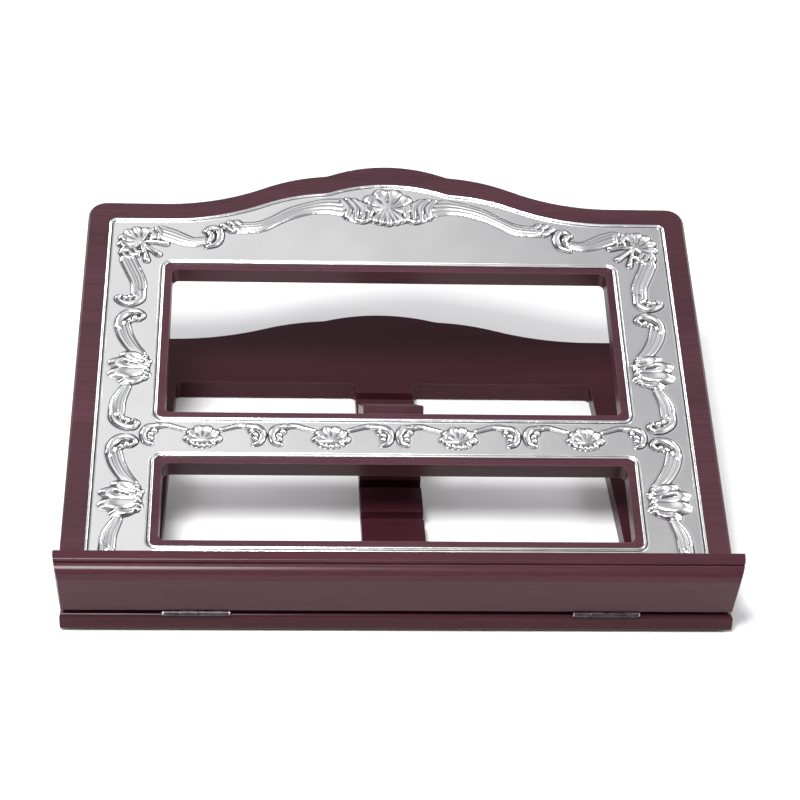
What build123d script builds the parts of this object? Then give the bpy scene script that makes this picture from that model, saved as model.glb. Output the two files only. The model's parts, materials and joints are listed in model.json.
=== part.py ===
"""Folding tabletop book stand: a hinged reading board with a silver-coloured cover plate, a front book
ledge, a slotted base board and a strut that drops into one of five notches in the base.

Units are millimetres. +X runs along the ledge, +Y from the reader to the back, +Z up. The origin is the
middle of the footprint at table level, with the stand open at its shallowest working tilt.
"""
from build123d import *
import math
import os

# --- Boards ---------------------------------------------------------------------------------------
BOARD_WIDTH = 401.0
BASE_WIDTH = 398.0
BOARD_THICKNESS = 12.0
SHOULDER_DEPTH = 318.5        # front edge to the straight shoulders of the back edge
CROWN_RISE = 37.0             # how far the middle of the back edge stands behind the shoulders
BASE_EXTRA_DEPTH = 7.0        # base's back edge behind the reading board's
CORNER_RADIUS = 12.0
EDGE_RADIUS = 2.8

# --- Opening angles -------------------------------------------------------------------------------
REST_TILT = 20.0              # reading board above the base
REST_STRUT_ANGLE = 51.0       # strut below the reading board

# --- Reading board and its cover plate ------------------------------------------------------------
LEDGE_THICKNESS = 15.0
WINDOW_HALF_WIDTH = 142.7
LOWER_WINDOW = (42.5, 99.5)   # front and back walls, measured up the board from the ledge's front
UPPER_WINDOW = (139.1, 258.0)
WINDOW_CORNER = 4.0
PLATE_THICKNESS = 0.8
PLATE_SIDE_MARGIN = 14.5
PLATE_BACK_MARGIN = 16.0
PLATE_CROWN_RISE = 34.0
PLATE_CORNER = 5.0
WOOD_RIM = 4.5                # bare wood left round each window
BEAD_WIDTH = 1.6
BEAD_HEIGHT = 1.2

# --- Ledge ----------------------------------------------------------------------------------------
LEDGE_HEIGHT = 41.5
LEDGE_TOP_LENGTH = 401.0
LEDGE_END_FLARE = 2.2         # each end leans out this much from bottom to top
LEDGE_END_ROUND = 40.0        # radius of the ends seen from above, easing in towards the reader
LEDGE_FLAT_TOP = 7.2          # raised strip along the back of the ledge's top
LEDGE_STEP = 2.2              # from that strip down to the rounded nose
LEDGE_NOSE_RADIUS = 7.0
LEDGE_GROOVE = 0.7            # fine groove at the foot of the step
DOWEL_RADIUS = 3.0
DOWEL_LENGTH = 30.0
DOWEL_IN_LEDGE = 11.0
DOWEL_SPACING = 90.0
DOWEL_COUNT = 5

# --- Base -----------------------------------------------------------------------------------------
PAD_HEIGHT = 1.2
PAD_RADIUS = 8.0
PAD_SPACING = (340.0, 250.0)
CUTOUT_OUTER = 143.5
CUTOUT_FRONT = 50.0
CUTOUT_BACK = 264.0
CUTOUT_CORNER = 4.0
RIB_HALF_WIDTH = 19.8
NOTCH_COUNT = 5
NOTCH_PITCH = 36.0
FIRST_NOTCH = 100.0           # front wall of the front notch
NOTCH_LENGTH = 8.0
NOTCH_DEPTH = 6.0
RAMP_LENGTH = 15.0            # shallow lead-in in front of each notch
RAMP_DEPTH = 1.2

# --- Hinges ---------------------------------------------------------------------------------------
FOLDED_GAP = 2.3              # between base and reading board when shut
HINGE_SET_OUT = 0.2           # front hinge axis in front of the boards
HINGE_LENGTH = 38.0
HINGE_OFFSET = 121.0          # middle of each front hinge from the middle of the pair
HINGE_PAIR_SHIFT = 2.0        # the pair sits this much to the right of the middle
HINGE_LEAF_WIDTH = 13.5
HINGE_BARREL_RADIUS = 1.8
HINGE_KNUCKLES = 4
LEAF_THICKNESS = 1.0
PIN_RADIUS = 0.8
RUNNING_CLEARANCE = 0.05
KNUCKLE_GAP = 0.3
BARREL_CLEARANCE = 0.3
MORTISE_CLEARANCE = 0.1
PIN_HEAD_LENGTH = 0.8

# --- Strut ----------------------------------------------------------------------------------------
STRUT_WIDTH = 38.0
STRUT_LENGTH = 93.3
STRUT_END_GAP = 0.7           # strut hinge axis to the wood on either side
STRUT_AXIS_DEPTH = 0.4        # strut hinge axis below the back face of the reading board
STRUT_HINGE_LENGTH = 30.0
STRUT_LEAF_WIDTH = 12.0
STRUT_BARREL_RADIUS = 1.7
STRUT_KNUCKLES = 3

# --- Screws ---------------------------------------------------------------------------------------
SCREW_HEAD_RADIUS = 2.2
SCREW_SHANK_RADIUS = 1.2
SCREW_LENGTH = 9.0
SCREW_SLOT_WIDTH = 0.6
SCREW_SLOT_DEPTH = 0.5

# --- Places that follow from the sizes ------------------------------------------------------------
tilt = math.radians(REST_TILT)
hinge_to_board = BOARD_THICKNESS + FOLDED_GAP / 2
ledge_lean = (LEDGE_HEIGHT + FOLDED_GAP / 2) * math.sin(tilt)
front_overhang = HINGE_SET_OUT - HINGE_SET_OUT * math.cos(tilt) + ledge_lean
base_front = -(SHOULDER_DEPTH + CROWN_RISE + BASE_EXTRA_DEPTH - front_overhang) / 2
hinge_y = base_front - HINGE_SET_OUT
hinge_z = PAD_HEIGHT + hinge_to_board

base_plane = Plane(origin=(0, base_front, PAD_HEIGHT))
hinge_origin = Vector(0, hinge_y, hinge_z)
board_up = Vector(0, math.cos(tilt), math.sin(tilt))
board_normal = Vector(0, -math.sin(tilt), math.cos(tilt))
board_origin = hinge_origin + board_up * HINGE_SET_OUT + board_normal * (FOLDED_GAP / 2)
board_plane = Plane(origin=board_origin, x_dir=(1, 0, 0), z_dir=board_normal)

strut_axis_up = UPPER_WINDOW[0] + STRUT_END_GAP
strut_origin = board_origin + board_up * strut_axis_up - board_normal * STRUT_AXIS_DEPTH
strut_slope = math.radians(REST_STRUT_ANGLE - REST_TILT)
strut_normal = Vector(0, math.sin(strut_slope), math.cos(strut_slope))
strut_plane = Plane(origin=strut_origin, x_dir=(1, 0, 0), z_dir=strut_normal)


# --- Outlines -------------------------------------------------------------------------------------
def crown_face(half_width, front, shoulder, rise, front_corner, back_corner):
    """Face of a board with straight sides and a back edge that swells to a stepped crown."""
    step = (41.0, shoulder + 0.742 * rise)
    fall = (84.0, shoulder + 0.42 * rise)
    foot = (147.0, shoulder)
    with BuildSketch() as outline:
        with BuildLine():
            ThreePointArc((-step[0], step[1]), (0, shoulder + rise), step)
            swell = RadiusArc(step, fall, 117)
            sweep_out = RadiusArc(fall, foot, -148)
            side = Polyline(foot, (half_width, shoulder), (half_width, front), (0, front))
            mirror(swell, about=Plane.YZ)
            mirror(sweep_out, about=Plane.YZ)
            mirror(side, about=Plane.YZ)
        make_face()
        steps = outline.vertices().filter_by(lambda v: abs(abs(v.X) - step[0]) < 0.01 and v.Y > front + 1)
        fillet(steps, radius=14)
        corners = outline.vertices().filter_by(lambda v: abs(abs(v.X) - half_width) < 0.01)
        fillet(corners.filter_by(lambda v: v.Y > front + 1), radius=back_corner)
        if front_corner:
            fillet(corners.filter_by(lambda v: v.Y < front + 1), radius=front_corner)
    return outline.sketch


def window_faces(grow=0.0, corner=WINDOW_CORNER):
    """Rounded rectangles of both windows, grown outwards by grow."""
    with BuildSketch() as windows:
        for low, high in (LOWER_WINDOW, UPPER_WINDOW):
            with Locations((0, (low + high) / 2)):
                RectangleRounded(2 * (WINDOW_HALF_WIDTH + grow), high - low + 2 * grow, corner)
    return windows.sketch


def plate_face(inset=0.0):
    """Outer outline of the cover plate, drawn in by inset."""
    return crown_face(BOARD_WIDTH / 2 - PLATE_SIDE_MARGIN - inset, LEDGE_THICKNESS + 0.4 + inset,
                      SHOULDER_DEPTH - PLATE_BACK_MARGIN - inset, PLATE_CROWN_RISE, 0, PLATE_CORNER - inset)


# --- Hinge pieces ---------------------------------------------------------------------------------
def knuckle_centres(length, count, parity):
    """Middles of the knuckles that belong to one leaf: parity 0 takes the first, third and so on."""
    pitch = length / count
    return [(-length / 2 + (i + 0.5) * pitch, pitch - KNUCKLE_GAP) for i in range(parity, count, 2)]


def screw_spots(length, width, rows):
    """Screw places on a leaf, along the axis and out from it."""
    spacing = length / rows
    return [((i - (rows - 1) / 2) * spacing, width * 0.62) for i in range(rows)]


def hinge_leaf(plane, length, width, count, parity, radius, plate_low, rows, face_up):
    """Leaf with its knuckles, in a plane whose X is the pin axis and whose +Y leads across the leaf."""
    plate_start = radius + BARREL_CLEARANCE
    plate_high = plate_low + LEAF_THICKNESS
    with BuildPart() as leaf:
        with BuildSketch(plane.offset(plate_low)):
            with Locations((0, (plate_start + width) / 2)):
                Rectangle(length, width - plate_start)
            for centre, tab in knuckle_centres(length, count, parity):
                with Locations((centre, plate_start / 2)):
                    Rectangle(tab, plate_start)
        extrude(amount=LEAF_THICKNESS)
        upright_edges = leaf.edges().filter_by(Axis(plane.origin, plane.z_dir))
        fillet(upright_edges.sort_by(Axis(plane.origin, plane.y_dir))[-2:], radius=1.5)
        for centre, tab in knuckle_centres(length, count, parity):
            start = plane.origin + plane.x_dir * (centre - tab / 2)
            with BuildSketch(Plane(origin=start, x_dir=plane.y_dir, z_dir=plane.x_dir)):
                Circle(radius)
            extrude(amount=tab)
        bore_start = plane.origin - plane.x_dir * length
        with BuildSketch(Plane(origin=bore_start, x_dir=plane.y_dir, z_dir=plane.x_dir)):
            Circle(PIN_RADIUS + RUNNING_CLEARANCE)
        extrude(amount=2 * length, mode=Mode.SUBTRACT)
        outer = plate_high if face_up else plate_low
        outward = plane.z_dir if face_up else -plane.z_dir
        for along, across in screw_spots(length, width, rows):
            spot = plane.origin + plane.x_dir * along + plane.y_dir * across + plane.z_dir * outer
            with Locations(Plane(origin=spot, x_dir=plane.x_dir, z_dir=outward)):
                CounterSinkHole(SCREW_SHANK_RADIUS + 0.1, SCREW_HEAD_RADIUS + 0.1, depth=3,
                                counter_sink_angle=90)
    return leaf.part


def leaf_mortises(planes, length, width, radius, plate_low):
    """What is cut from the wood to let in leaves and their barrels."""
    with BuildPart() as mortises:
        for plane in planes:
            with BuildSketch(plane.offset(plate_low - MORTISE_CLEARANCE)):
                with Locations((0, width / 2)):
                    Rectangle(length + 2 * MORTISE_CLEARANCE, width + 2 * MORTISE_CLEARANCE)
            extrude(amount=LEAF_THICKNESS + 2 * MORTISE_CLEARANCE)
            barrel_half = length / 2 + PIN_HEAD_LENGTH + BARREL_CLEARANCE
            start = plane.origin - plane.x_dir * barrel_half
            with BuildSketch(Plane(origin=start, x_dir=plane.y_dir, z_dir=plane.x_dir)):
                Circle(radius + BARREL_CLEARANCE)
            extrude(amount=2 * barrel_half)
    return mortises.part


def screw_head_planes(planes, length, width, rows, head_level, heads_up):
    """Planes on the screws' head faces, with +Z leading out of the head."""
    head_planes = []
    for plane in planes:
        for along, across in screw_spots(length, width, rows):
            spot = plane.origin + plane.x_dir * along + plane.y_dir * across + plane.z_dir * head_level
            outward = plane.z_dir if heads_up else -plane.z_dir
            head_planes.append(Plane(origin=spot, x_dir=plane.x_dir, z_dir=outward))
    return head_planes


def screw_group(head_planes):
    """Slotted countersunk screws below the head planes."""
    taper_end = SCREW_SHANK_RADIUS - SCREW_HEAD_RADIUS
    with BuildPart() as screws:
        for head_plane in head_planes:
            with BuildSketch(Plane(origin=head_plane.origin, x_dir=head_plane.x_dir, z_dir=-head_plane.y_dir)):
                with BuildLine():
                    Polyline((0, 0), (SCREW_HEAD_RADIUS, 0), (SCREW_SHANK_RADIUS, taper_end),
                             (SCREW_SHANK_RADIUS, -SCREW_LENGTH + 2), (0, -SCREW_LENGTH), close=True)
                make_face()
            revolve(axis=Axis(head_plane.origin, head_plane.z_dir))
            with BuildSketch(head_plane):
                Rectangle(2 * SCREW_HEAD_RADIUS + 1, SCREW_SLOT_WIDTH, rotation=25)
            extrude(amount=-SCREW_SLOT_DEPTH, mode=Mode.SUBTRACT)
    return screws.part


def screw_holes(head_planes):
    """Pilot holes in the wood for a group of screws."""
    with BuildPart() as holes:
        for head_plane in head_planes:
            with BuildSketch(head_plane):
                Circle(SCREW_SHANK_RADIUS + RUNNING_CLEARANCE)
            extrude(amount=-SCREW_LENGTH - 0.5)
    return holes.part


def hinge_pin(plane, length):
    """Pin with a small head at each end."""
    start = plane.origin - plane.x_dir * (length / 2 + PIN_HEAD_LENGTH)
    with BuildPart() as pin:
        with BuildSketch(Plane(origin=start, x_dir=plane.y_dir, z_dir=plane.x_dir)):
            Circle(PIN_RADIUS)
        extrude(amount=length + 2 * PIN_HEAD_LENGTH)
        for end in (-1, 1):
            end_plane = Plane(origin=plane.origin + plane.x_dir * end * (length / 2 + 0.1),
                              x_dir=plane.y_dir, z_dir=plane.x_dir * end)
            with BuildSketch(end_plane):
                Circle(PIN_RADIUS + 0.5)
            extrude(amount=PIN_HEAD_LENGTH - 0.1)
    return pin.part


# --- Hinge places: X along the pin, +Y across the leaf --------------------------------------------
sides = {"left": HINGE_PAIR_SHIFT - HINGE_OFFSET, "right": HINGE_PAIR_SHIFT + HINGE_OFFSET}
front_base_planes = {side: Plane(origin=(x, hinge_y, hinge_z), x_dir=(1, 0, 0), z_dir=(0, 0, 1))
                     for side, x in sides.items()}
front_board_planes = {side: Plane(origin=(x, hinge_y, hinge_z), x_dir=(1, 0, 0), z_dir=board_normal)
                      for side, x in sides.items()}
crossbar_plane = Plane(origin=strut_origin, x_dir=(-1, 0, 0), z_dir=board_normal)

front_leaf = (HINGE_LENGTH, HINGE_LEAF_WIDTH)
strut_leaf = (STRUT_HINGE_LENGTH, STRUT_LEAF_WIDTH)
front_base_low = -FOLDED_GAP / 2 - LEAF_THICKNESS
front_board_low = FOLDED_GAP / 2

base_screw_planes = screw_head_planes(front_base_planes.values(), *front_leaf, 3, -FOLDED_GAP / 2, True)
ledge_screw_planes = screw_head_planes(front_board_planes.values(), *front_leaf, 3, FOLDED_GAP / 2, False)
crossbar_screw_planes = screw_head_planes([crossbar_plane], *strut_leaf, 2, STRUT_AXIS_DEPTH, False)
strut_screw_planes = screw_head_planes([strut_plane], *strut_leaf, 2, STRUT_AXIS_DEPTH, False)

base_mortises = leaf_mortises(front_base_planes.values(), *front_leaf, HINGE_BARREL_RADIUS, front_base_low)
ledge_mortises = leaf_mortises(front_board_planes.values(), *front_leaf, HINGE_BARREL_RADIUS, front_board_low)
crossbar_mortise = leaf_mortises([crossbar_plane], *strut_leaf, STRUT_BARREL_RADIUS, STRUT_AXIS_DEPTH)
strut_mortise = leaf_mortises([strut_plane], *strut_leaf, STRUT_BARREL_RADIUS, STRUT_AXIS_DEPTH)

board_holes = screw_holes(crossbar_screw_planes)
base_holes = screw_holes(base_screw_planes)
ledge_holes = screw_holes(ledge_screw_planes)
strut_holes = screw_holes(strut_screw_planes)

base_outline = crown_face(BASE_WIDTH / 2, 0, SHOULDER_DEPTH + BASE_EXTRA_DEPTH, CROWN_RISE, 3, CORNER_RADIUS)
board_outline = crown_face(BOARD_WIDTH / 2, LEDGE_THICKNESS, SHOULDER_DEPTH, CROWN_RISE, 0, CORNER_RADIUS)
board_windows = window_faces()
plate_windows = window_faces(WOOD_RIM)
bead_windows = window_faces(WOOD_RIM + BEAD_WIDTH, WINDOW_CORNER + BEAD_WIDTH)
plate_outline = plate_face()
plate_field = plate_face(BEAD_WIDTH)

finished = {}

# --- Base board -----------------------------------------------------------------------------------
with BuildPart() as base_board:
    with BuildSketch(base_plane):
        add(base_outline)
    extrude(amount=BOARD_THICKNESS)
    rims = base_board.faces().filter_by(Axis.Z).edges()
    fillet(rims, radius=EDGE_RADIUS)
    with BuildSketch(base_plane):
        for side in (-1, 1):
            with Locations((side * (CUTOUT_OUTER + RIB_HALF_WIDTH) / 2, (CUTOUT_FRONT + CUTOUT_BACK) / 2)):
                RectangleRounded(CUTOUT_OUTER - RIB_HALF_WIDTH, CUTOUT_BACK - CUTOUT_FRONT, CUTOUT_CORNER)
    extrude(amount=BOARD_THICKNESS, mode=Mode.SUBTRACT)
    top = PAD_HEIGHT + BOARD_THICKNESS
    with BuildSketch(Plane(origin=(-RIB_HALF_WIDTH - 0.01, base_front, top), x_dir=(0, 1, 0), z_dir=(1, 0, 0))):
        for i in range(NOTCH_COUNT):
            notch = FIRST_NOTCH + i * NOTCH_PITCH
            with BuildLine():
                Polyline((notch - RAMP_LENGTH, 0), (notch, -RAMP_DEPTH), (notch, -NOTCH_DEPTH),
                         (notch + NOTCH_LENGTH, -NOTCH_DEPTH), (notch + NOTCH_LENGTH, 1),
                         (notch - RAMP_LENGTH, 1), close=True)
            make_face()
    extrude(amount=2 * RIB_HALF_WIDTH + 0.02, mode=Mode.SUBTRACT)
    add(base_mortises, mode=Mode.SUBTRACT)
    add(base_holes, mode=Mode.SUBTRACT)
finished["base_board"] = base_board.part

with BuildPart() as felt_pads:
    with BuildSketch(Plane.XY):
        with Locations((0, base_front + SHOULDER_DEPTH / 2)):
            with GridLocations(PAD_SPACING[0], PAD_SPACING[1], 2, 2):
                Circle(PAD_RADIUS)
    extrude(amount=PAD_HEIGHT)
finished["felt_pads"] = felt_pads.part

# --- Reading board --------------------------------------------------------------------------------
dowel_start = LEDGE_THICKNESS - DOWEL_IN_LEDGE
dowel_plane = Plane(origin=board_origin + board_up * dowel_start + board_normal * (BOARD_THICKNESS / 2),
                    x_dir=(1, 0, 0), z_dir=board_up)

with BuildPart() as reading_board:
    with BuildSketch(board_plane):
        add(board_outline)
    extrude(amount=BOARD_THICKNESS)
    front_face = reading_board.faces().sort_by(Axis(board_plane.origin, board_plane.y_dir))[0]
    broad_faces = reading_board.faces().filter_by(Axis(board_plane.origin, board_plane.z_dir))
    outer_rims = [edge for edge in broad_faces.edges() if edge not in front_face.edges()]
    fillet(outer_rims, radius=EDGE_RADIUS)
    with BuildSketch(board_plane):
        add(board_windows)
    extrude(amount=BOARD_THICKNESS, mode=Mode.SUBTRACT)
    add(crossbar_mortise, mode=Mode.SUBTRACT)
    add(board_holes, mode=Mode.SUBTRACT)
    with BuildSketch(dowel_plane):
        with GridLocations(DOWEL_SPACING, 1, DOWEL_COUNT, 1):
            Circle(DOWEL_RADIUS + RUNNING_CLEARANCE)
    extrude(amount=DOWEL_LENGTH + 1, mode=Mode.SUBTRACT)
finished["reading_board"] = reading_board.part

with BuildPart() as silver_plate:
    with BuildSketch(board_plane.offset(BOARD_THICKNESS)):
        add(plate_outline)
        add(plate_windows, mode=Mode.SUBTRACT)
    extrude(amount=PLATE_THICKNESS)
    with BuildSketch(board_plane.offset(BOARD_THICKNESS + PLATE_THICKNESS / 2)):
        add(bead_windows)
        add(plate_windows, mode=Mode.SUBTRACT)
    extrude(amount=BEAD_HEIGHT)
    with BuildSketch(board_plane.offset(BOARD_THICKNESS + PLATE_THICKNESS / 2)):
        add(plate_outline)
        add(plate_field, mode=Mode.SUBTRACT)
    extrude(amount=BEAD_HEIGHT)
finished["silver_plate"] = silver_plate.part

# --- Book ledge -----------------------------------------------------------------------------------
ledge_start = -LEDGE_TOP_LENGTH / 2
ledge_section = Plane(origin=board_origin + Vector(ledge_start, 0, 0), x_dir=board_up, z_dir=(1, 0, 0))
nose_top = LEDGE_HEIGHT - LEDGE_STEP
step_at = LEDGE_THICKNESS - LEDGE_FLAT_TOP
with BuildPart() as book_ledge:
    with BuildSketch(ledge_section):
        with BuildLine():
            nose = JernArc(start=(0, nose_top - LEDGE_NOSE_RADIUS), tangent=(0, 1), radius=LEDGE_NOSE_RADIUS,
                           arc_size=-90)
            Polyline(nose @ 1, (step_at - LEDGE_GROOVE, nose_top - LEDGE_GROOVE),
                     (step_at, nose_top - LEDGE_GROOVE), (step_at, LEDGE_HEIGHT),
                     (LEDGE_THICKNESS, LEDGE_HEIGHT), (LEDGE_THICKNESS, 0), (0, 0), nose @ 0)
        make_face()
    extrude(amount=LEDGE_TOP_LENGTH)
    up_axis = Axis(board_origin, board_normal)
    long_edges = book_ledge.edges().filter_by(Axis.X)
    bottom_front = long_edges.group_by(up_axis)[0].sort_by(Axis(board_origin, board_up))[0]
    strip_front, strip_rear = long_edges.group_by(up_axis)[-1].sort_by(Axis(board_origin, board_up))
    fillet(bottom_front, radius=2.2)
    fillet(strip_front, radius=1.6)
    fillet(strip_rear, radius=0.8)
    with BuildSketch(Plane(origin=board_origin - board_normal, x_dir=(1, 0, 0), z_dir=board_normal)):
        with Locations((0, LEDGE_THICKNESS)):
            SlotOverall(LEDGE_TOP_LENGTH, 2 * LEDGE_END_ROUND)
    extrude(amount=LEDGE_HEIGHT + 2, mode=Mode.INTERSECT)
    for end in (-1, 1):
        lean = Vector(end * LEDGE_HEIGHT, 0, 0) - board_normal * LEDGE_END_FLARE
        corner = board_origin + board_normal * LEDGE_HEIGHT + Vector(end * LEDGE_TOP_LENGTH / 2, 0, 0)
        split(bisect_by=Plane(origin=corner, z_dir=lean), keep=Keep.BOTTOM)
    add(ledge_mortises, mode=Mode.SUBTRACT)
    add(ledge_holes, mode=Mode.SUBTRACT)
    with BuildSketch(dowel_plane.offset(-1)):
        with GridLocations(DOWEL_SPACING, 1, DOWEL_COUNT, 1):
            Circle(DOWEL_RADIUS + RUNNING_CLEARANCE)
    extrude(amount=DOWEL_LENGTH, mode=Mode.SUBTRACT)
finished["book_ledge"] = book_ledge.part

with BuildPart() as ledge_dowels:
    with BuildSketch(dowel_plane):
        with GridLocations(DOWEL_SPACING, 1, DOWEL_COUNT, 1):
            Circle(DOWEL_RADIUS)
    extrude(amount=DOWEL_LENGTH)
    chamfer(ledge_dowels.edges().filter_by(GeomType.CIRCLE), length=0.6)
finished["ledge_dowels"] = ledge_dowels.part

# --- Front hinges ---------------------------------------------------------------------------------
for side in sides:
    finished[side + "_hinge_base_leaf"] = hinge_leaf(
        front_base_planes[side], HINGE_LENGTH, HINGE_LEAF_WIDTH, HINGE_KNUCKLES, 0,
        HINGE_BARREL_RADIUS, front_base_low, 3, True)
    finished[side + "_hinge_board_leaf"] = hinge_leaf(
        front_board_planes[side], HINGE_LENGTH, HINGE_LEAF_WIDTH, HINGE_KNUCKLES, 1,
        HINGE_BARREL_RADIUS, front_board_low, 3, False)
    finished[side + "_hinge_pin"] = hinge_pin(front_base_planes[side], HINGE_LENGTH)

finished["hinge_base_screws"] = screw_group(base_screw_planes)
finished["hinge_ledge_screws"] = screw_group(ledge_screw_planes)

# --- Strut and its hinge --------------------------------------------------------------------------
with BuildPart() as support_strut:
    with BuildSketch(strut_plane.offset(STRUT_AXIS_DEPTH)):
        with Locations((0, STRUT_END_GAP + STRUT_LENGTH / 2)):
            Rectangle(STRUT_WIDTH, STRUT_LENGTH)
    extrude(amount=BOARD_THICKNESS)
    along_strut = Axis(strut_plane.origin, strut_plane.y_dir)
    fillet(support_strut.edges().filter_by(along_strut), radius=1.2)
    add(strut_mortise, mode=Mode.SUBTRACT)
    add(strut_holes, mode=Mode.SUBTRACT)
finished["support_strut"] = support_strut.part

finished["strut_hinge_board_leaf"] = hinge_leaf(
    crossbar_plane, STRUT_HINGE_LENGTH, STRUT_LEAF_WIDTH, STRUT_KNUCKLES, 0,
    STRUT_BARREL_RADIUS, STRUT_AXIS_DEPTH, 2, False)
finished["strut_hinge_strut_leaf"] = hinge_leaf(
    strut_plane, STRUT_HINGE_LENGTH, STRUT_LEAF_WIDTH, STRUT_KNUCKLES, 1,
    STRUT_BARREL_RADIUS, STRUT_AXIS_DEPTH, 2, False)
finished["strut_hinge_pin"] = hinge_pin(crossbar_plane, STRUT_HINGE_LENGTH)

finished["strut_hinge_board_screws"] = screw_group(crossbar_screw_planes)
finished["strut_hinge_strut_screws"] = screw_group(strut_screw_planes)

# --- Write ----------------------------------------------------------------------------------------
os.makedirs("parts", exist_ok=True)
for name, part in finished.items():
    part.label = name
    export_step(part, "parts/" + name + ".step")
print("front hinge axis", [round(v, 3) for v in hinge_origin])
print("strut hinge axis", [round(v, 3) for v in strut_origin])
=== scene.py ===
"""Materials, repousse silver plate, light and camera for the folding book stand.

The frame is in metres. The plate's ornament is drawn in millimetres on the reading board: `x` from the
middle of the board, `up` from the front of the book ledge, and height above the board's top face.
The ornament is the same on both sides of the middle, so it is drawn once in `out`, the distance from it.
"""
import json
import math
import bpy
import bmesh
import numpy as np
from mathutils import Matrix, Vector


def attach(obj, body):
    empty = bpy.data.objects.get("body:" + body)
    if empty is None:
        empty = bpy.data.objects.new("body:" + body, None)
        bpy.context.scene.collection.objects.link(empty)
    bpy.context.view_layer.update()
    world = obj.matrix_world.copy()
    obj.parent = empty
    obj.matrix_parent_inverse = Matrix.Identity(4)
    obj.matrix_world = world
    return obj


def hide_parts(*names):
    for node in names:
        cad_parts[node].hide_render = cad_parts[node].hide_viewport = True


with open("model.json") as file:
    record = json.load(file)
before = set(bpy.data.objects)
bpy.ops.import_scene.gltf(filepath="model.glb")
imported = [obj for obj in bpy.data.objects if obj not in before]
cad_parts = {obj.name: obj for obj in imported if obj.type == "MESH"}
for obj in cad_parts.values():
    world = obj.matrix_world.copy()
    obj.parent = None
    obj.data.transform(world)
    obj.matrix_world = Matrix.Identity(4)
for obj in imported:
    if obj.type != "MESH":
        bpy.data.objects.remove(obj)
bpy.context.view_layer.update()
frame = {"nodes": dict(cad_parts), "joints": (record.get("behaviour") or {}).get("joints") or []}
nodes = frame["nodes"]
joints = {joint["name"]: joint for joint in frame["joints"]}

MM = 0.001

# --- The reading board's own directions -------------------------------------------------------------
HINGE_SET_OUT = 0.2           # front hinge axis in front of the ledge
HALF_FOLDED_GAP = 1.15        # axis to the board's underside
BOARD_THICKNESS = 12.0

tilt = math.radians(-joints["panel_tilt"]["range_deg"][0])
strut_slope = math.radians(joints["strut_swing"]["range_deg"][1]) - tilt
board_up = np.array((0, math.cos(tilt), math.sin(tilt)))
board_normal = np.array((0, -math.sin(tilt), math.cos(tilt)))
board_origin = (np.array(joints["panel_tilt"]["pos_m"])
                + (board_up * HINGE_SET_OUT + board_normal * (HALF_FOLDED_GAP + BOARD_THICKNESS)) * MM)


def on_board(x, up, height):
    """Points in the frame for places on the reading board, height being above its top face."""
    x, up, height = np.broadcast_arrays(x, up, height)
    sideways = x[..., None] * np.array((1.0, 0, 0))
    return board_origin + (sideways + up[..., None] * board_up + height[..., None] * board_normal) * MM


# --- Ornament: soft raised strokes laid over one grid ------------------------------------------------
GRID = 0.5
PLATE_HALF_WIDTH = 186.0
PLATE_FRONT = 15.4
PLATE_BACK = 339.0
SHEET = 0.8                   # plate thickness, so the height of its flat field

columns = np.arange(round(PLATE_HALF_WIDTH / GRID) + 1) * GRID
rows = np.arange(PLATE_FRONT, PLATE_BACK, GRID)
half_out, half_up = np.meshgrid(columns, rows)


def smooth_line(points, widths, per_span=24):
    """Catmull-Rom line through points with the widths carried along it."""
    knots = np.column_stack((points, widths)).astype(float)
    knots = np.vstack((2 * knots[0] - knots[1], knots, 2 * knots[-1] - knots[-2]))
    t = np.linspace(0, 1, per_span, endpoint=False)[:, None]
    spans = []
    for a, b, c, d in zip(knots, knots[1:], knots[2:], knots[3:]):
        spans.append(0.5 * (2 * b + (c - a) * t + (2 * a - 5 * b + 4 * c - d) * t ** 2
                            + (3 * b - a - 3 * c + d) * t ** 3))
    spans.append(knots[-2:-1])
    line = np.vstack(spans)
    return line[:, :2], np.maximum(line[:, 2], 0.15)


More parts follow.
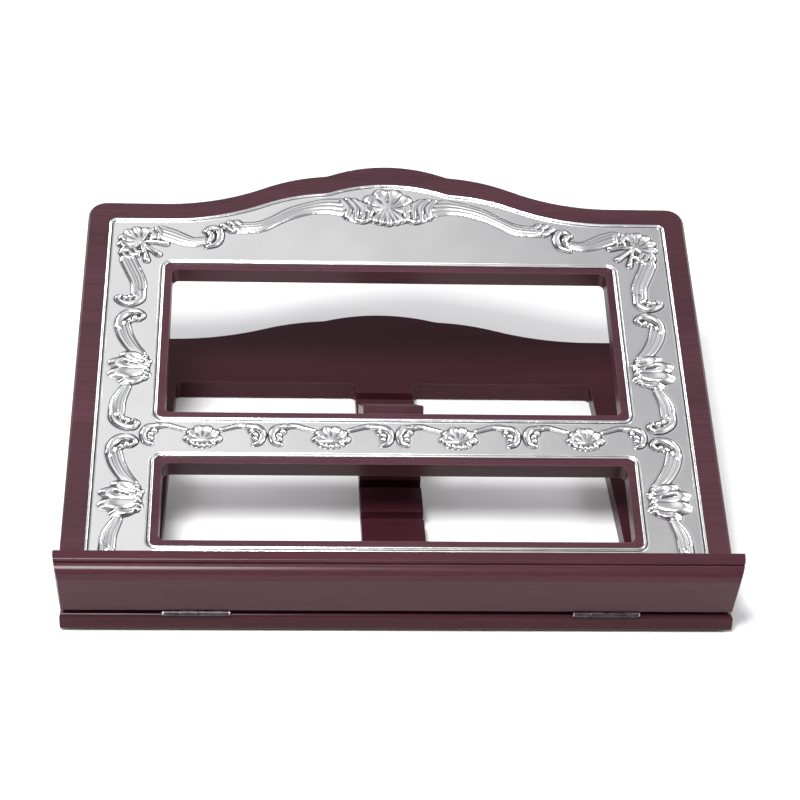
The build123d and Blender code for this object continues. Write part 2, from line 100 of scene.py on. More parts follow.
class Relief:
    """Height field over a grid of places, made by laying raised shapes on it."""

    def __init__(self, out, up):
        self.out = out
        self.up = up
        self.height = np.zeros(out.shape)

    def stroke(self, points, widths, height, flutes=0, fullness=0.5):
        """Rounded band of these half widths along a smooth line, with grooves along it if fluted."""
        line, half = smooth_line(points, widths)
        reach = half.max() + GRID
        near = ((self.out > line[:, 0].min() - reach) & (self.out < line[:, 0].max() + reach)
                & (self.up > line[:, 1].min() - reach) & (self.up < line[:, 1].max() + reach))
        place = np.column_stack((self.out[near], self.up[near]))
        if not len(place):
            return
        gap = place[:, None, :] - line[None, :, :]
        spread = np.hypot(gap[..., 0], gap[..., 1]) / half
        best = spread.argmin(axis=1)
        across = spread[np.arange(len(place)), best]
        section = np.clip(1 - across ** 2, 0, 1) ** fullness
        if flutes:
            along = np.gradient(line, axis=0)
            offset = gap[np.arange(len(place)), best]
            side = np.sign(along[best, 0] * offset[:, 1] - along[best, 1] * offset[:, 0])
            for groove in np.linspace(-1, 1, flutes + 1)[1:-1]:
                section *= 1 - 0.42 * np.exp(-((across * side - groove) / 0.11) ** 2)
        self.height[near] = np.maximum(self.height[near], section * height)

    def bead(self, out, up, radius, height):
        """Small dome."""
        self.stroke([(out, up), (out + 0.01, up)], (radius, radius), height)

    def cut(self, points, widths, depth):
        """Soft furrow along a smooth line."""
        furrow = Relief(self.out, self.up)
        furrow.stroke(points, widths, depth)
        self.height = np.maximum(self.height - furrow.height, 0)

    def shell(self, root, toward, span, reach, lobes, height, narrowing, start=0):
        """Scallop shell within span degrees of one direction, with nothing raised nearer the root than start.

        It has rim lobes, a hollow behind them and a domed middle.
        """
        away_out = self.out - root[0]
        away_up = self.up - root[1]
        distance = np.hypot(away_out, away_up)
        turn = (np.degrees(np.arctan2(away_up, away_out)) - toward + 180) % 360 - 180
        lobe_angle = 2 * span / lobes
        within = ((turn + span) / lobe_angle) % 1
        edge = reach * (1 - narrowing * (turn / span) ** 2) * (0.87 + 0.13 * np.sin(math.pi * within))
        share = distance / edge
        rise = 0.42 + 0.55 * np.exp(-((share - 0.84) / 0.12) ** 2) + 0.45 * np.exp(-(share / 0.5) ** 2)
        parting = np.minimum(within, 1 - within) * math.radians(lobe_angle) * distance
        rise *= 1 - 0.55 * np.exp(-(parting / 0.5) ** 2) * np.clip((share - 0.3) / 0.2, 0, 1)
        side_gap = (span - np.abs(turn)) * math.radians(1) * distance
        rise *= np.sqrt(np.clip((1 - share) / 0.12, 0, 1) * np.clip(side_gap / 0.9, 0, 1))
        if start:
            rise *= np.sqrt(np.clip((distance - start) / 0.9, 0, 1))
        self.height = np.maximum(self.height, rise * height)

    def fan(self, root, tips, root_width, tip_width, height):
        """Shell of lobes that widen from the root to their tips."""
        for tip in tips:
            middle = [(r + t) / 2 for r, t in zip(root, tip)]
            self.stroke([root, middle, tip], (root_width, (root_width + tip_width) / 2, tip_width), height)


def shift(points, up):
    return [(p[0], p[1] + up) for p in points]


def corner_motif(relief):
    """Scalloped shell in the back corner, with tongues towards the window and two fluted arms."""
    relief.shell((163.5, 279), 36, 76, 16.8, 6, 2.1, 0.15)
    for tip, bend in [((147.5, 279.5), (156, 281)), ((152, 270), (158, 275)), ((159.5, 264.5), (161, 271))]:
        relief.stroke([(164, 280), bend, tip], (1.0, 1.2, 1.9), 1.9)
        relief.bead(*tip, 1.5, 2.4)
    relief.stroke([(158.5, 290.5), (156, 287), (158, 283)], (2.6, 2.2, 1.0), 2.0)
    relief.stroke([(153.5, 292.5), (151.5, 288.5), (153, 284)], (2.2, 2.0, 1.0), 1.8)
    relief.bead(157.5, 291.5, 1.5, 2.5)
    for a, b in [((176, 271), (169, 266.5)), ((172.5, 273.5), (165.5, 269)), ((168.5, 274.5), (163, 272))]:
        relief.stroke([a, ((a[0] + b[0]) / 2 + 0.8, (a[1] + b[1]) / 2 - 1.6), b], (2.0, 1.8, 1.2), 1.8)
    relief.stroke([(151, 290), (143.5, 286.8), (136, 283.3), (129.5, 281.4), (122.5, 282.5)],
                  (5.2, 5.4, 4.6, 3.7, 3.4), 1.6, flutes=4)
    relief.stroke([(122, 290.5), (118, 294), (113.4, 292.5), (112.2, 286.5), (114.5, 280), (121, 276.8)],
                  (1.4, 2.0, 2.2, 2.3, 2.0, 0.9), 2.0)
    relief.stroke([(120, 290), (117.6, 286.5), (118.8, 281.5)], (1.9, 2.1, 1.2), 2.2)
    relief.cut([(116.8, 291.2), (115.1, 286.8), (116.4, 281.6)], (0.6, 0.6, 0.5), 1.3)
    relief.cut([(119.4, 288.6), (118.6, 284.4)], (0.45, 0.4), 0.9)
    relief.stroke([(172, 265), (168, 255.5), (164, 245), (163.6, 235.5)],
                  (5.0, 5.0, 4.8, 4.4), 1.6, flutes=4)
    relief.stroke([(162.5, 236), (162.3, 230.5), (167.5, 227), (173, 227.5), (177, 231), (175, 233.5)],
                  (3.2, 2.6, 2.4, 1.8, 1.6, 1.0), 2.0)
    for out, up in ((165.8, 233), (168.9, 232), (172, 231.6)):
        relief.bead(out, up, 1.7, 2.1)
    for out in (167.4, 170.5):
        relief.cut([(out, 234), (out + 0.2, 229.6)], (0.5, 0.4), 1.1)


def side_motif(relief, up):
    """Shell between two curled fluted arms, as a tall C and reversed C down the side of the plate."""
    relief.stroke(shift([(172.5, 208), (170, 199.5), (165, 190.5), (159.5, 185)], up),
                  (4.9, 4.7, 4.0, 2.6), 1.6, flutes=4)
    upper_curl = [(174.5, 206), (174.5, 213), (170, 219), (163.5, 220), (159.7, 216.5), (162.5, 213)]
    relief.stroke(shift(upper_curl, up), (1.6, 2.2, 2.4, 2.0, 1.5, 0.9), 2.1)
    for out, rise in ((171.2, 210), (168.2, 212.6), (165, 214.2)):
        relief.bead(out, rise + up, 2.0, 2.3)
    for start, end in (((170.4, 208.6), (168.9, 214.4)), ((167.3, 211), (165.9, 216.6))):
        relief.cut(shift([start, end], up), (0.5, 0.45), 1.2)
    relief.shell((143, 173 + up), 0, 34, 38, 4, 2.2, 0.34, start=11)
    relief.cut(shift([(162, 176.4), (170.5, 177.8)], up), (0.9, 0.6), 1.7)
    relief.cut(shift([(158, 180), (164, 181.6)], up), (0.5, 0.4), 1.0)
    relief.cut(shift([(158, 167.2), (165, 165.4)], up), (0.5, 0.4), 1.0)
    for rise in (165, 168.4, 171.8, 175.2, 178.6, 182):
        relief.bead(155.6 + abs(rise - 173.5) * 0.12, rise + up, 1.5, 2.6)
    for rise in (166.7, 170.1, 173.5, 176.9, 180.3):
        relief.cut(shift([(153.4, rise), (157.6, rise)], up), (0.5, 0.3), 1.6)
    relief.stroke(shift([(167.5, 158), (171.6, 147.5), (172.3, 138)], up), (2.8, 4.3, 4.6), 1.6, flutes=4)
    lower_curl = [(175, 140), (174, 132.5), (168.5, 127.5), (162.5, 126), (159.3, 129), (161.8, 131.8)]
    relief.stroke(shift(lower_curl, up), (1.6, 2.2, 2.4, 1.9, 1.5, 0.9), 2.1)
    for out, rise in ((171.8, 136), (169, 133.4), (165.8, 131.6)):
        relief.bead(out, rise + up, 2.0, 2.3)
    for start, end in (((171.2, 137.4), (169.6, 131.6)), ((168.2, 135), (166.8, 129.4))):
        relief.cut(shift([start, end], up), (0.5, 0.45), 1.2)


def crown_motif(relief):
    """Centre shell with acanthus ribs and a long fluted arm that falls away to a leaf cluster."""
    for out, up in ((109, 295.5), (104.5, 298), (100, 298.5), (105.5, 292.5), (101.5, 293.5)):
        relief.stroke([(out + 1, up + 1), (out - 1.2, up - 1)], (2.2, 1.6), 1.9)
    long_arm = [(99, 294.5), (85.5, 296.2), (75.5, 302), (65, 308.7), (53, 313.4), (41, 315.7), (31, 314.8)]
    relief.stroke(long_arm, (4.6, 4.5, 4.0, 4.7, 5.2, 6.4, 7.4), 1.6, flutes=4)
    for rib in ([(31.5, 320.5), (27, 313.5), (27.5, 305)], [(27, 321.5), (22, 314), (22, 303.5)],
                [(22.5, 321), (17.3, 314), (17.2, 304)], [(18.5, 318.5), (13, 312), (13, 303.5)]):
        relief.stroke(rib, (2.0, 2.9, 1.5), 2.1)
    relief.stroke([(27, 308), (20, 305), (14, 307)], (3.6, 4.2, 3), 1.3)
    relief.stroke([(12.6, 306), (14.6, 302.6), (18.4, 301.7), (22, 303.6)], (1.2, 1.5, 1.5, 0.9), 2.0)
    relief.shell((0, 312), 90, 104, 20.6, 6, 2.6, 0.2)
    relief.fan((0.8, 312.5), [(0.2, 300.6), (5.2, 301.8), (9.6, 303.4)], 1.6, 2.7, 2.4)


def crossbar_motif(relief):
    """Small upright shell between two arms that curl over at their ends."""
    relief.shell((0, 114.6), 90, 88, 13.8, 6, 1.9, 0.16)
    for out, up in ((0, 112.2), (3.3, 112.5), (6.4, 113.8), (8.8, 116.4)):
        relief.bead(out, up, 1.5, 1.7)
    relief.stroke([(11, 124.6), (16, 126.2), (22, 128), (28, 127.8)], (1.1, 1.2, 1.5, 2.0), 1.3, flutes=2)
    relief.stroke([(27, 127.2), (33.5, 126.4), (36.6, 121.5), (35.2, 115.4), (31.4, 113.4)],
                  (1.4, 2.0, 1.9, 1.6, 1.0), 1.7)
    for out, up in ((29.8, 123.4), (32.2, 120.8), (32.2, 117.6)):
        relief.bead(out, up, 1.7, 1.9)
    for start, end in (((29.6, 121.4), (32.6, 123.8)), ((30.6, 119), (34.4, 119.4))):
        relief.cut([start, end], (0.45, 0.4), 1.0)


CROSSBAR_MOTIFS = (39.3, 118.4)
SIDE_MOTIF_STEP = -101.5

relief = Relief(half_out, half_up)
corner_motif(relief)
side_motif(relief, 0)
side_motif(relief, SIDE_MOTIF_STEP)
crown_motif(relief)
for centre in CROSSBAR_MOTIFS:
    along_bar = Relief(np.abs(half_out - centre), half_up)
    crossbar_motif(along_bar)
    relief.height = np.maximum(relief.height, along_bar.height)


def blur(field, radius):
    """Gaussian blur of a field, radius in millimetres."""
    reach = math.ceil(3 * radius / GRID)
    kernel = np.exp(-0.5 * (np.arange(-reach, reach + 1) * GRID / radius) ** 2)
    kernel /= kernel.sum()
    for axis in (0, 1):
        padded = np.pad(field, [(reach, reach) if a == axis else (0, 0) for a in (0, 1)], mode="edge")
        size = field.shape[axis]
        field = sum(k * np.take(padded, range(i, i + size), axis=axis) for i, k in enumerate(kernel))
    return field


def mirrored(field):
    """Whole plate from its half, the middle column shared."""
    return np.hstack((field[:, :0:-1], field))


CHASED_LINE = 0.45            # depth of the line struck round the ornament
full_out = np.hstack((-columns[:0:-1], columns))
full_x, full_up = np.meshgrid(full_out, rows)
raised = mirrored(blur(relief.height, 0.3))
foot = blur(np.minimum(raised / 0.25, 1), 0.65)
raised -= CHASED_LINE * foot * np.clip(1 - raised / 0.25, 0, 1)
# How far each place lies below its surroundings. The silver colour is darkened by it, partly as tarnish and
# partly as painted shade in the hollows.
hollow = np.clip((blur(raised, 0.9) - raised) / 0.30, 0, 1)
rolling = (0.03 * np.sin(full_x / 9 + full_up / 31) + 0.025 * np.sin(full_up / 7.3 - full_x / 23)
           + 0.02 * np.sin(full_x / 5.1 - full_up / 6.7))
surface_height = SHEET + raised + rolling


# --- Plate pieces ------------------------------------------------------------------------------------
def plate_loops(plate):
    """Boundary loops of the plate's underside as (x, up) points, metal on the left of each."""
    mesh = bmesh.new()
    mesh.from_mesh(plate.data)
    bmesh.ops.remove_doubles(mesh, verts=mesh.verts, dist=1e-6)
    down = Vector(-board_normal)
    under = {face for face in mesh.faces if face.normal.dot(down) > 0.99}
    border = {edge for edge in mesh.edges if sum(face in under for face in edge.link_faces) == 1}
    loops = []
    while border:
        edge = border.pop()
        start, corner = edge.verts
        loop = [start]
        while corner is not start:
            loop.append(corner)
            edge = next(e for e in corner.link_edges if e in border)
            border.remove(edge)
            corner = edge.other_vert(corner)
        points = np.array([vert.co for vert in loop]) - board_origin
        loops.append(np.column_stack((points[:, 0], points @ board_up)) / MM)
    mesh.free()
    loops.sort(key=lambda loop: -np.ptp(loop[:, 0]) * np.ptp(loop[:, 1]))
    return [loop if (turning(loop) > 0) == (i == 0) else loop[::-1] for i, loop in enumerate(loops)]


def turning(loop):
    """Twice the signed area of a loop, positive when it runs anticlockwise."""
    after = np.roll(loop, -1, axis=0)
    return float((loop[:, 0] * after[:, 1] - after[:, 0] * loop[:, 1]).sum())


def divided(loop, longest):
    """The loop with its long sides divided, its own corners kept."""
    points = []
    for a, b in zip(loop, np.roll(loop, -1, axis=0)):
        parts = max(1, math.ceil(np.linalg.norm(b - a) / longest))
        points += [a + (b - a) * i / parts for i in range(parts)]
    return np.array(points)


def inset(loop, distance):
    """The loop moved to its left, with mitred corners."""
    before = loop - np.roll(loop, 1, axis=0)
    after = np.roll(loop, -1, axis=0) - loop
    before /= np.linalg.norm(before, axis=1)[:, None]
    after /= np.linalg.norm(after, axis=1)[:, None]
    left_before = np.column_stack((-before[:, 1], before[:, 0]))
    left_after = np.column_stack((-after[:, 1], after[:, 0]))
    bisector = left_before + left_after
    return loop + distance * 2 * bisector / (bisector ** 2).sum(axis=1)[:, None]


def distance_inside(loop, x, up):
    """Distance from places to a loop, positive on its metal side."""
    nearest = np.full(x.shape, np.inf)
    winding = np.zeros(x.shape, bool)
    for (ax, ay), (bx, by) in zip(loop, np.roll(loop, -1, axis=0)):
        run_x, run_y = bx - ax, by - ay
        share = np.clip(((x - ax) * run_x + (up - ay) * run_y) / (run_x ** 2 + run_y ** 2), 0, 1)
        nearest = np.minimum(nearest, np.hypot(x - ax - share * run_x, up - ay - share * run_y))
        crosses = (ay > up) != (by > up)
        level = (up - ay) / (run_y if run_y else 1.0)
        winding ^= crosses & (x < ax + level * run_x)
    inside = winding if turning(loop) > 0 else ~winding
    return np.where(inside, nearest, -nearest)


def mesh_object(name, points, faces, smooth=True):
    """Object from points in the frame and faces of point numbers."""
    mesh = bpy.data.meshes.new(name)
    mesh.from_pydata([tuple(p) for p in points], [], [tuple(f) for f in faces])
    mesh.validate()
    piece = bpy.data.objects.new(name, mesh)
    bpy.context.scene.collection.objects.link(piece)
    mesh.polygons.foreach_set("use_smooth", np.full(len(mesh.polygons), smooth))
    return piece


loops = plate_loops(nodes["silver_plate"])
HIDDEN_MARGIN = 3.0           # how far inside the plate's edges the field stops, under the rims
metal = np.min([distance_inside(loop, full_x, full_up) for loop in loops], axis=0)


def field_piece(name, wanted):
    """Closed piece of the ornamented field, over the grid cells that wanted picks."""
    corner_ok = metal > HIDDEN_MARGIN
    cells = corner_ok[:-1, :-1] & corner_ok[1:, :-1] & corner_ok[:-1, 1:] & corner_ok[1:, 1:] & wanted
    numbers = np.arange(full_x.size).reshape(full_x.shape)
    row, column = np.nonzero(cells)
    top = np.column_stack((numbers[row, column], numbers[row, column + 1],
                           numbers[row + 1, column + 1], numbers[row + 1, column]))
    used, top = np.unique(top, return_inverse=True)
    top = top.reshape(-1, 4)
    x, up = full_x.ravel()[used], full_up.ravel()[used]
    piece = mesh_object(name, on_board(x, up, surface_height.ravel()[used]), top)
    # Hollow depth is kept on the points to darken the silver there, as tarnish and painted shade.
    oxide_and_shade = piece.data.attributes.new("oxide_and_shade", "FLOAT", "POINT")
    oxide_and_shade.data.foreach_set("value", hollow.ravel()[used].astype(np.float32))
    mesh = bmesh.new()
    mesh.from_mesh(piece.data)
    edges = [edge for edge in mesh.edges if edge.is_boundary]
    skirt = bmesh.ops.extrude_edge_only(mesh, edges=edges)["geom"]
    for vert in (item for item in skirt if isinstance(item, bmesh.types.BMVert)):
        depth = (np.array(vert.co) - board_origin) @ board_normal
        vert.co -= Vector(board_normal * depth)
    lower = [item for item in skirt if isinstance(item, bmesh.types.BMEdge) and item.is_boundary]
    bmesh.ops.triangle_fill(mesh, edges=lower, use_beauty=False, normal=Vector(-board_normal))
    for face in mesh.faces:
        face.smooth = face.normal.dot(Vector(board_normal)) > 0.05
    for edge in edges:
        edge.smooth = False
    mesh.to_mesh(piece.data)
    mesh.free()
    return piece


FRONT_SEAM_UP = 122.4         # between the two side motifs
BACK_SEAM_UP = 223.7          # between the side motif and the corner motif
SEAM_OUT = 150.6              # beside the crossbar
cell_up = full_up[:-1, :-1]
cell_out = np.abs(full_x[:-1, :-1] + GRID / 2)
front_part = np.where(cell_out < SEAM_OUT, cell_up < 180, cell_up < FRONT_SEAM_UP)
back_part = cell_up >= BACK_SEAM_UP
plate_front = field_piece("silver_field_front", front_part)
plate_sides = field_piece("silver_field_sides", ~front_part & ~back_part)
plate_back = field_piece("silver_field_back", back_part)

BEAD_CENTRE = (1.05, 0.80)
BEAD_RADIUS = 0.85
# The third number of each profile point is how far the silver is darkened there, as tarnish and painted shade.
# It is deepest in the groove behind the bead.
bead_profile = [(BEAD_CENTRE[0] - BEAD_RADIUS * math.cos(a), BEAD_CENTRE[1] + BEAD_RADIUS * math.sin(a), 0)
                for a in np.linspace(0, math.pi * 0.97, 11)]
rim_profile = [(0.2, 0, 0)] + bead_profile + [(2.05, 0.42, 1), (2.4, 0.36, 1), (2.7, 0.66, 0.6),
                                              (3.05, 0.92, 0), (3.4, 0.96, 0), (3.9, 0.62, 0), (3.9, 0, 0)]


def rim_piece(name, loop):
    """Beaded rim swept along one edge of the plate."""
    path = divided(loop, 2.0)
    around = np.array([on_board(*inset(path, across).T, height) for across, height, _ in rim_profile])
    ring, count = len(rim_profile), len(path)
    numbers = np.arange(ring * count).reshape(ring, count)
    onward, outward = np.roll(numbers, -1, axis=1), np.roll(numbers, -1, axis=0)
    faces = np.stack((numbers, onward, np.roll(onward, -1, axis=0), outward), axis=-1)
    piece = mesh_object(name, around.reshape(-1, 3), faces.reshape(-1, 4))
    # Profile darkness is carried to the points, as tarnish and painted shade along the rim's groove.
    oxide_and_shade = piece.data.attributes.new("oxide_and_shade", "FLOAT", "POINT")
    darkness = np.array([dark for _, _, dark in rim_profile], np.float32)
    oxide_and_shade.data.foreach_set("value", np.repeat(darkness, count))
    return piece


plate_rims = [rim_piece(name, loop) for name, loop in zip(("silver_outer_rim", "silver_back_window_rim",
                                                           "silver_front_window_rim"), loops)]
silver_pieces = [plate_front, plate_sides, plate_back] + plate_rims


# --- Materials -----------------------------------------------------------------------------------------
def material(name):
    """New node material with its nodes, links and Principled shader."""
    made = bpy.data.materials.new(name)
    made.use_nodes = True
    tree = made.node_tree
    return made, tree, tree.nodes["Principled BSDF"]


def add_node(tree, kind, inputs=None, **settings):
    """Node of this kind with its settings and its inputs set to numbers or linked to sockets."""
    node = tree.nodes.new(kind)
    for key, value in settings.items():
        setattr(node, key, value)
    for key, value in (inputs or {}).items():
        if isinstance(value, bpy.types.NodeSocket):
            tree.links.new(value, node.inputs[key])
        else:
            node.inputs[key].default_value = value
    return node


def ramp(tree, factor, stops):
    """Colour ramp through (position, colour) stops."""
    node = add_node(tree, "ShaderNodeValToRGB", {"Fac": factor})
    elements = node.color_ramp.elements
    while len(elements) < len(stops):
        elements.new(0.5)
    for element, (position, colour) in zip(elements, stops):
        element.position = position
        element.color = (*colour, 1)
    return node.outputs["Color"]


def span(tree, value, low, high):
    """Maps 0..1 to low..high."""
    return add_node(tree, "ShaderNodeMapRange", {"Value": value, "To Min": low, "To Max": high}).outputs[0]


def fade(tree, value, none, full):
    """Maps none..full to 0..1, held at both ends."""
    return add_node(tree, "ShaderNodeMapRange", {"Value": value, "From Min": none, "From Max": full}).outputs[0]


def mixed(tree, factor, a, b, blend="MIX"):
    """Mixes two colours."""
    node = add_node(tree, "ShaderNodeMix", data_type="RGBA", blend_type=blend)
    for socket, value in (("Factor", factor), ("A", a), ("B", b)):
        places = {"Factor": 0, "A": 6, "B": 7}
        target = node.inputs[places[socket]]
        if isinstance(value, bpy.types.NodeSocket):
            tree.links.new(value, target)
        else:
            target.default_value = value if socket == "Factor" else (*value, 1)
    return node.outputs[2]


def noise(tree, vector, scale, detail=4.0, roughness=0.5):
    node = add_node(tree, "ShaderNodeTexNoise", {"Scale": scale, "Detail": detail, "Roughness": roughness})
    tree.links.new(vector, node.inputs["Vector"])
    return node.outputs["Fac"]


def bump(tree, height, strength, distance, normal=None):
    inputs = {"Height": height, "Strength": strength, "Distance": distance}
    if normal is not None:
        inputs["Normal"] = normal
    return add_node(tree, "ShaderNodeBump", inputs).outputs["Normal"]


def place(tree, stretch=(1, 1, 1), turn=(0, 0, 0), offset=(0, 0, 0)):
    """The piece's own coordinates, turned and stretched."""
    coordinates = add_node(tree, "ShaderNodeTexCoord").outputs["Object"]
    turned = add_node(tree, "ShaderNodeMapping",
                      {"Vector": coordinates, "Rotation": turn, "Location": offset}).outputs[0]
    return add_node(tree, "ShaderNodeMapping", {"Vector": turned, "Scale": stretch}).outputs[0]


def stained_wood(name, dark, light, turn=(0, 0, 0), offset=(0, 0, 0)):
    """Red-brown stained hardwood under satin lacquer, the grain along X before turning."""
    made, tree, shader = material(name)
    figure = noise(tree, place(tree, (2.2, 26, 26), turn, offset), 1.0, 3, 0.55)
    fibres = noise(tree, place(tree, (18, 900, 900), turn, offset), 1.0, 3, 0.6)
    pores = noise(tree, place(tree, (70, 2600, 2600), turn, offset), 1.0, 2, 0.5)
    colour = ramp(tree, figure, [(0.30, dark), (0.72, light)])
    streaks = ramp(tree, fibres, [(0.30, (0.72, 0.70, 0.70)), (0.62, (1, 1, 1))])
    colour = mixed(tree, 0.75, colour, streaks, "MULTIPLY")
    pore_marks = ramp(tree, pores, [(0.30, (0.45, 0.40, 0.40)), (0.40, (1, 1, 1))])
    colour = mixed(tree, 0.55, colour, pore_marks, "MULTIPLY")
    rounded = add_node(tree, "ShaderNodeBevel", {"Radius": 1.2 * MM}, samples=6).outputs["Normal"]
    own = add_node(tree, "ShaderNodeNewGeometry").outputs["Normal"]
    agree = add_node(tree, "ShaderNodeVectorMath", {0: rounded, 1: own}, operation="DOT_PRODUCT")
    edge = fade(tree, agree.outputs["Value"], 0.995, 0.90)
    rub = noise(tree, place(tree, (90, 90, 90)), 1.0, 3)
    edge_wear = add_node(tree, "ShaderNodeMath", {0: edge, 1: rub}, operation="MULTIPLY").outputs[0]
    worn = tuple(min(1, c * 1.9 + 0.01) for c in light)
    colour = mixed(tree, edge_wear, colour, worn)
    tree.links.new(colour, shader.inputs["Base Color"])
    smudges = noise(tree, place(tree, (14, 14, 14)), 1.0, 5, 0.6)
    tree.links.new(span(tree, smudges, 0.30, 0.46), shader.inputs["Roughness"])
    tree.links.new(bump(tree, fibres, 0.10, 0.15 * MM), shader.inputs["Normal"])
    shader.inputs["Specular IOR Level"].default_value = 0.03
    shader.inputs["Coat Weight"].default_value = 0.28
    shader.inputs["Coat Roughness"].default_value = 0.22
    shader.inputs["Coat IOR"].default_value = 1.5
    return made


def struck_silver():
    """Bright silver, darkened in the hollows partly by tarnish and partly by painted shade, with a fine
    planished grain.
    """
    made, tree, shader = material("struck_silver")
    oxide_and_shade = add_node(tree, "ShaderNodeAttribute", attribute_name="oxide_and_shade").outputs["Fac"]
    clouds = noise(tree, place(tree, (16, 16, 16)), 1.0, 4)
    # Near-black colour is mixed in where the hollows are deep, as tarnish and painted shade.
    oxide_and_shade_weight = fade(tree, oxide_and_shade, 0.28, 0.90)
    bright = ramp(tree, clouds, [(0.35, (0.90, 0.90, 0.90)), (0.65, (0.96, 0.96, 0.95))])
    colour = mixed(tree, oxide_and_shade_weight, bright, (0.06, 0.057, 0.062))
    tree.links.new(colour, shader.inputs["Base Color"])
    polish = noise(tree, place(tree, (60, 60, 60)), 1.0, 4)
    roughness = span(tree, polish, 0.17, 0.27)
    dulled = add_node(tree, "ShaderNodeMath", {0: roughness, 1: oxide_and_shade_weight, 2: roughness},
                      operation="MULTIPLY_ADD").outputs[0]
    tree.links.new(dulled, shader.inputs["Roughness"])
    planish = noise(tree, place(tree, (650, 650, 650)), 1.0, 2)
    tree.links.new(bump(tree, planish, 0.10, 0.12 * MM), shader.inputs["Normal"])
    shader.inputs["Metallic"].default_value = 1.0
    return made


def worked_metal(name, dark, light, low, high, fine):
    """Turned or pressed hardware with patches of wear."""
    made, tree, shader = material(name)
    patches = noise(tree, place(tree, (240, 240, 240)), 1.0, 5, 0.6)
    tree.links.new(ramp(tree, patches, [(0.35, dark), (0.68, light)]), shader.inputs["Base Color"])
    tree.links.new(span(tree, patches, low, high), shader.inputs["Roughness"])
    marks = noise(tree, place(tree, (400, 3000, 3000)), 1.0, 2)
    tree.links.new(bump(tree, marks, fine, 0.05 * MM), shader.inputs["Normal"])
    shader.inputs["Metallic"].default_value = 1.0
    return made


def pale_wood():
    """Bare beech of the dowels, with short flecks."""
    made, tree, shader = material("bare_beech")
    fibres = noise(tree, place(tree, (1200, 60, 1200), (tilt, 0, 0)), 1.0, 3)
    flecks = noise(tree, place(tree, (2600, 420, 2600), (tilt, 0, 0)), 1.0, 1)
    colour = ramp(tree, fibres, [(0.3, (0.50, 0.33, 0.19)), (0.7, (0.68, 0.49, 0.31))])
    fleck_marks = ramp(tree, flecks, [(0.3, (0.6, 0.5, 0.42)), (0.42, (1, 1, 1))])
    colour = mixed(tree, 0.5, colour, fleck_marks, "MULTIPLY")
    tree.links.new(colour, shader.inputs["Base Color"])
    tree.links.new(bump(tree, fibres, 0.2, 0.1 * MM), shader.inputs["Normal"])
    shader.inputs["Roughness"].default_value = 0.7
    return made


def felt():
    """Dense dark felt."""
    made, tree, shader = material("dark_felt")
    tufts = noise(tree, place(tree, (1500, 1500, 1500)), 1.0, 4, 0.7)
    clumps = noise(tree, place(tree, (300, 300, 300)), 1.0, 3)
    colour = ramp(tree, tufts, [(0.3, (0.012, 0.011, 0.012)), (0.7, (0.05, 0.045, 0.05))])
    tree.links.new(colour, shader.inputs["Base Color"])
    tree.links.new(span(tree, clumps, 0.88, 1.0), shader.inputs["Roughness"])
    tree.links.new(bump(tree, tufts, 0.6, 0.3 * MM), shader.inputs["Normal"])
    shader.inputs["Sheen Weight"].default_value = 0.4
    return made


BOARD_DARK, BOARD_LIGHT = (0.051, 0.020, 0.028), (0.075, 0.030, 0.041)
LEDGE_DARK, LEDGE_LIGHT = (0.046, 0.014, 0.021), (0.067, 0.021, 0.031)
BASE_DARK, BASE_LIGHT = (0.034, 0.008, 0.012), (0.048, 0.012, 0.018)
materials = {
    "mahogany_board": stained_wood("mahogany_board", BOARD_DARK, BOARD_LIGHT),
    "mahogany_ledge": stained_wood("mahogany_ledge", LEDGE_DARK, LEDGE_LIGHT, offset=(0.31, 0.17, 0.05)),
    "mahogany_base": stained_wood("mahogany_base", BASE_DARK, BASE_LIGHT, offset=(0.12, 0.43, 0.21)),
    "mahogany_strut": stained_wood("mahogany_strut", BOARD_DARK, BOARD_LIGHT,
                                   (strut_slope, 0, math.pi / 2), (0.05, 0.02, 0.3)),
    "silver_sheet": struck_silver(),
    "hinge_metal": worked_metal("hinge_metal", (0.04, 0.030, 0.037), (0.10, 0.08, 0.09), 0.36, 0.55, 0.3),
    "hinge_pin_steel": worked_metal("hinge_pin_steel", (0.30, 0.28, 0.28), (0.50, 0.48, 0.48), 0.28, 0.42, 0.2),
    "screw_steel": worked_metal("screw_steel", (0.18, 0.15, 0.14), (0.36, 0.32, 0.30), 0.30, 0.48, 0.2),
    "beech_dowel": pale_wood(),
    "dark_felt": felt(),
}

SLOT_OF = {
    "base_board": "mahogany_base",
    "reading_board": "mahogany_board",
    "book_ledge": "mahogany_ledge",
    "support_strut": "mahogany_strut",
    "felt_pads": "dark_felt",
    "ledge_dowels": "beech_dowel",
    "silver_plate": "silver_sheet",
}


def slot_of(name):
    """Material slot of a CAD node."""
    if name in SLOT_OF:
        return SLOT_OF[name]
    if name.endswith("_pin"):
        return "hinge_pin_steel"
    return "screw_steel" if name.endswith("_screws") else "hinge_metal"


for name, node in nodes.items():
    for material_slot in node.material_slots:
        material_slot.material = materials[slot_of(name)]

for piece in silver_pieces:
    piece.data.materials.append(materials["silver_sheet"])
    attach(piece, "reading_board")
    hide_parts("silver_plate")

# --- Floor ------------------------------------------------------------------------------------------
floor_material, floor_tree, floor_shader = material("pale_floor")
floor_tone = ramp(floor_tree, noise(floor_tree, place(floor_tree, (3, 3, 3)), 1.0, 2),
                  [(0.3, (0.90, 0.90, 0.90)), (0.7, (0.93, 0.93, 0.93))])
floor_tree.links.new(floor_tone, floor_shader.inputs["Base Color"])
floor_shader.inputs["Roughness"].default_value = 0.9
FLOOR_HALF = 6.0
floor = mesh_object("floor", [(-FLOOR_HALF, -FLOOR_HALF, 0), (FLOOR_HALF, -FLOOR_HALF, 0),
                              (FLOOR_HALF, FLOOR_HALF, 0), (-FLOOR_HALF, FLOOR_HALF, 0)], [(0, 1, 2, 3)])
floor.data.materials.append(floor_material)

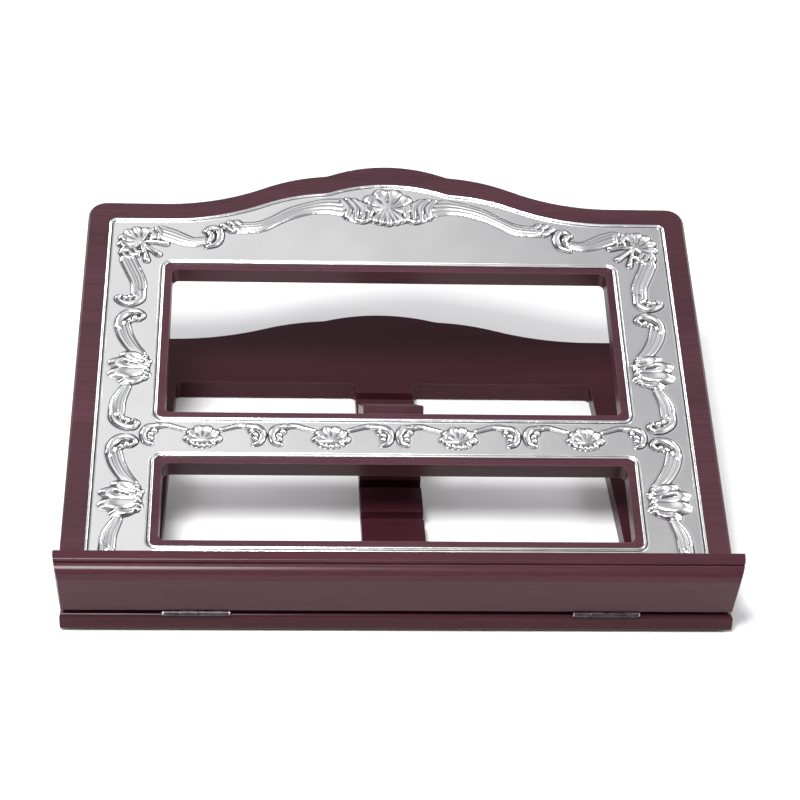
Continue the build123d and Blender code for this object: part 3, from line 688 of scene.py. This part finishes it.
# --- Light ------------------------------------------------------------------------------------------
scene = bpy.context.scene
scene.view_settings.view_transform = "Standard"
world = bpy.data.worlds.new("studio")
scene.world = world
world.use_nodes = True
sky = world.node_tree
direction = add_node(sky, "ShaderNodeTexCoord").outputs["Generated"]
parts = add_node(sky, "ShaderNodeSeparateXYZ", {0: direction})
brightness = ramp(sky, parts.outputs["Z"], [(0.0, (0.55, 0.55, 0.56)), (0.25, (0.34, 0.34, 0.36)),
                                            (0.60, (0.34, 0.34, 0.36)), (0.86, (0.80, 0.80, 0.81)),
                                            (1.0, (0.84, 0.84, 0.85))])
sideways = parts.outputs["X"]
brightness = mixed(sky, fade(sky, sideways, -0.40, -0.72), brightness, (0.07, 0.07, 0.08))
brightness = mixed(sky, fade(sky, sideways, -0.02, 0.18), brightness, (0.50, 0.49, 0.50), "MULTIPLY")
brightness = mixed(sky, fade(sky, sideways, 0.45, 0.70), brightness, (0.74, 0.74, 0.76))
sky.links.new(brightness, sky.nodes["Background"].inputs["Color"])
sky.nodes["Background"].inputs["Strength"].default_value = 1.0

middle = Vector((0, 0, 0.06))


def softbox(name, position, width, depth, watts, target=middle):
    """Rectangular area light aimed at a point."""
    lamp = bpy.data.lights.new(name, "AREA")
    lamp.shape = "RECTANGLE"
    lamp.size = width
    lamp.size_y = depth
    lamp.energy = watts
    light = bpy.data.objects.new(name, lamp)
    scene.collection.objects.link(light)
    light.location = position
    light.rotation_euler = (Vector(position) - target).to_track_quat("Z", "Y").to_euler()
    return light


softbox("front_top", (-0.34, -0.86, 1.48), 0.42, 0.60, 36)
softbox("left_key", (-1.4, -0.9, 1.7), 0.9, 0.9, 3)
softbox("right_key", (1.5, -0.7, 1.3), 0.7, 0.9, 5)
softbox("left_back", (-1.4, 1.2, 0.75), 0.8, 0.6, 12)
softbox("right_back", (1.4, 1.2, 0.75), 0.8, 0.6, 12)

# --- Camera -----------------------------------------------------------------------------------------
CAMERA_PLACE = Vector((-0.0668, -1.1867, 0.7830))
CAMERA_TARGET = Vector((0.0116, 0.0880, 0.0012))
CAMERA_ROLL = math.radians(2.34)
camera_data = bpy.data.cameras.new("camera")
camera_data.lens = 96.8
camera_data.sensor_width = 36.0
camera_data.clip_start = 0.05
camera_data.clip_end = 30
camera = bpy.data.objects.new("camera", camera_data)
scene.collection.objects.link(camera)
aim = (CAMERA_TARGET - CAMERA_PLACE).to_track_quat("-Z", "Y").to_matrix()
rolled = aim @ Matrix.Rotation(CAMERA_ROLL, 3, "Z")
camera.matrix_world = Matrix.Translation(CAMERA_PLACE) @ rolled.to_4x4()
scene.camera = camera
